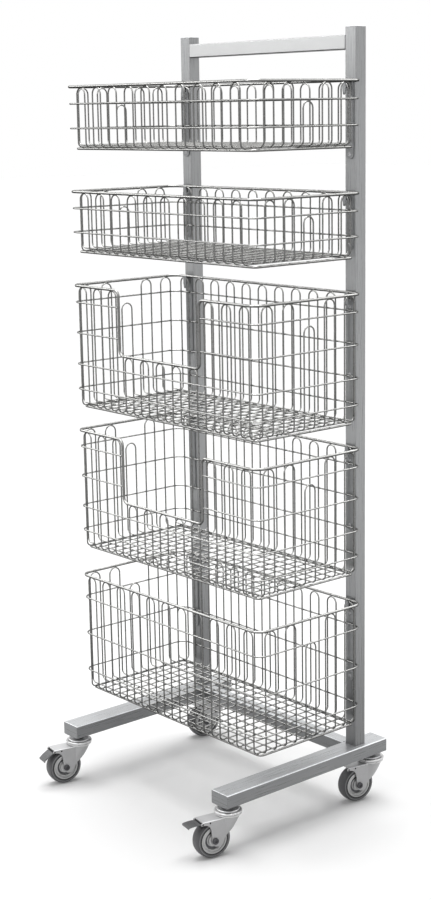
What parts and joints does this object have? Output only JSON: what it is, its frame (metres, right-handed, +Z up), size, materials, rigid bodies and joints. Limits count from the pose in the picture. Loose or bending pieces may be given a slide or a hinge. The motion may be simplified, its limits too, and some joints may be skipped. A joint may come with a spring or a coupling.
{
  "type": "mobile basket rack",
  "caption": "Mobile rack: square-tube frame on swivel casters with lift-off welded wire baskets hung in tiers on the fronts of the posts.",
  "frame": {"origin": "middle of the rack's outline box at floor level", "axes": "+Z up, +X along the width towards the right post, -Y towards the baskets and the long ends of the feet"},
  "size_m": [0.6182, 0.5536, 1.68],
  "materials": {
    "frame_steel": "satin metallic, fine grain along the tubes",
    "wire": "bright polished wire",
    "zinc": "zinc plated pressed steel",
    "caster_steel": "plated steel, darker",
    "hub": "grey moulded plastic",
    "tyre": "grey rubber"
  },
  "bodies": {
    "frame": {"post_left": "frame_steel", "post_cap_left": "frame_steel", "foot_left": "frame_steel", "foot_cap_front_left": "frame_steel", "foot_cap_rear_left": "frame_steel", "bracket_1_left": "zinc", "bracket_2_left": "zinc", "bracket_3_left": "zinc", "bracket_4_left": "zinc", "bracket_5_left": "zinc", "caster_head_front_left": "zinc", "caster_head_rear_left": "zinc", "post_right": "frame_steel", "post_cap_right": "frame_steel", "foot_right": "frame_steel", "foot_cap_front_right": "frame_steel", "foot_cap_rear_right": "frame_steel", "bracket_1_right": "zinc", "bracket_2_right": "zinc", "bracket_3_right": "zinc", "bracket_4_right": "zinc", "bracket_5_right": "zinc", "caster_head_front_right": "zinc", "caster_head_rear_right": "zinc", "base_rail": "frame_steel", "top_bar": "frame_steel"},
    "basket_1": {"basket_1": "wire"},
    "basket_2": {"basket_2": "wire"},
    "basket_3": {"basket_3": "wire"},
    "basket_4": {"basket_4": "wire"},
    "basket_5": {"basket_5": "wire"},
    "fork_front_left": {"caster_fork_front_left": "zinc", "axle_bolt_front_left": "caster_steel"},
    "wheel_front_left": {"wheel_tyre_front_left": "tyre", "wheel_hub_front_left": "hub"},
    "pedal_front_left": {"brake_pedal_front_left": "caster_steel"},
    "fork_front_right": {"caster_fork_front_right": "zinc", "axle_bolt_front_right": "caster_steel"},
    "wheel_front_right": {"wheel_tyre_front_right": "tyre", "wheel_hub_front_right": "hub"},
    "pedal_front_right": {"brake_pedal_front_right": "caster_steel"},
    "fork_rear_left": {"caster_fork_rear_left": "zinc", "axle_bolt_rear_left": "caster_steel"},
    "wheel_rear_left": {"wheel_tyre_rear_left": "tyre", "wheel_hub_rear_left": "hub"},
    "fork_rear_right": {"caster_fork_rear_right": "zinc", "axle_bolt_rear_right": "caster_steel"},
    "wheel_rear_right": {"wheel_tyre_rear_right": "tyre", "wheel_hub_rear_right": "hub"}
  },
  "joints": [
    {"name": "basket_1_lift", "type": "slide", "parent": "frame", "child": "basket_1", "axis": [0, 0, 1], "range_m": [0, 0.012]},
    {"name": "basket_2_lift", "type": "slide", "parent": "frame", "child": "basket_2", "axis": [0, 0, 1], "range_m": [0, 0.012]},
    {"name": "basket_3_lift", "type": "slide", "parent": "frame", "child": "basket_3", "axis": [0, 0, 1], "range_m": [0, 0.012]},
    {"name": "basket_4_lift", "type": "slide", "parent": "frame", "child": "basket_4", "axis": [0, 0, 1], "range_m": [0, 0.012]},
    {"name": "basket_5_lift", "type": "slide", "parent": "frame", "child": "basket_5", "axis": [0, 0, 1], "range_m": [0, 0.012]},
    {"name": "swivel_front_left", "type": "hinge", "parent": "frame", "child": "fork_front_left", "pos_m": [-0.264, -0.1749, 0.088], "axis": [0, 0, 1], "continuous": true},
    {"name": "wheel_spin_front_left", "type": "hinge", "parent": "fork_front_left", "child": "wheel_front_left", "pos_m": [-0.27217, -0.21508, 0.04], "axis": [0.9799, -0.1994, 0], "continuous": true},
    {"name": "brake_pedal_front_left", "type": "hinge", "parent": "fork_front_left", "child": "pedal_front_left", "pos_m": [-0.27775, -0.24249, 0.0812], "axis": [0.9799, -0.1994, 0], "range_deg": [-34, 0]},
    {"name": "swivel_front_right", "type": "hinge", "parent": "frame", "child": "fork_front_right", "pos_m": [0.264, -0.1749, 0.088], "axis": [0, 0, 1], "continuous": true},
    {"name": "wheel_spin_front_right", "type": "hinge", "parent": "fork_front_right", "child": "wheel_front_right", "pos_m": [0.25583, -0.21508, 0.04], "axis": [0.9799, -0.1994, 0], "continuous": true},
    {"name": "brake_pedal_front_right", "type": "hinge", "parent": "fork_front_right", "child": "pedal_front_right", "pos_m": [0.25025, -0.24249, 0.0812], "axis": [0.9799, -0.1994, 0], "range_deg": [0, 34]},
    {"name": "swivel_rear_left", "type": "hinge", "parent": "frame", "child": "fork_rear_left", "pos_m": [-0.264, 0.2475, 0.088], "axis": [0, 0, 1], "continuous": true},
    {"name": "wheel_spin_rear_left", "type": "hinge", "parent": "fork_rear_left", "child": "wheel_rear_left", "pos_m": [-0.27217, 0.20732, 0.04], "axis": [0.9799, -0.1994, 0], "continuous": true},
    {"name": "swivel_rear_right", "type": "hinge", "parent": "frame", "child": "fork_rear_right", "pos_m": [0.264, 0.2475, 0.088], "axis": [0, 0, 1], "continuous": true},
    {"name": "wheel_spin_rear_right", "type": "hinge", "parent": "fork_rear_right", "child": "wheel_rear_right", "pos_m": [0.25583, 0.20732, 0.04], "axis": [0.9799, -0.1994, 0], "continuous": true}
  ]
}
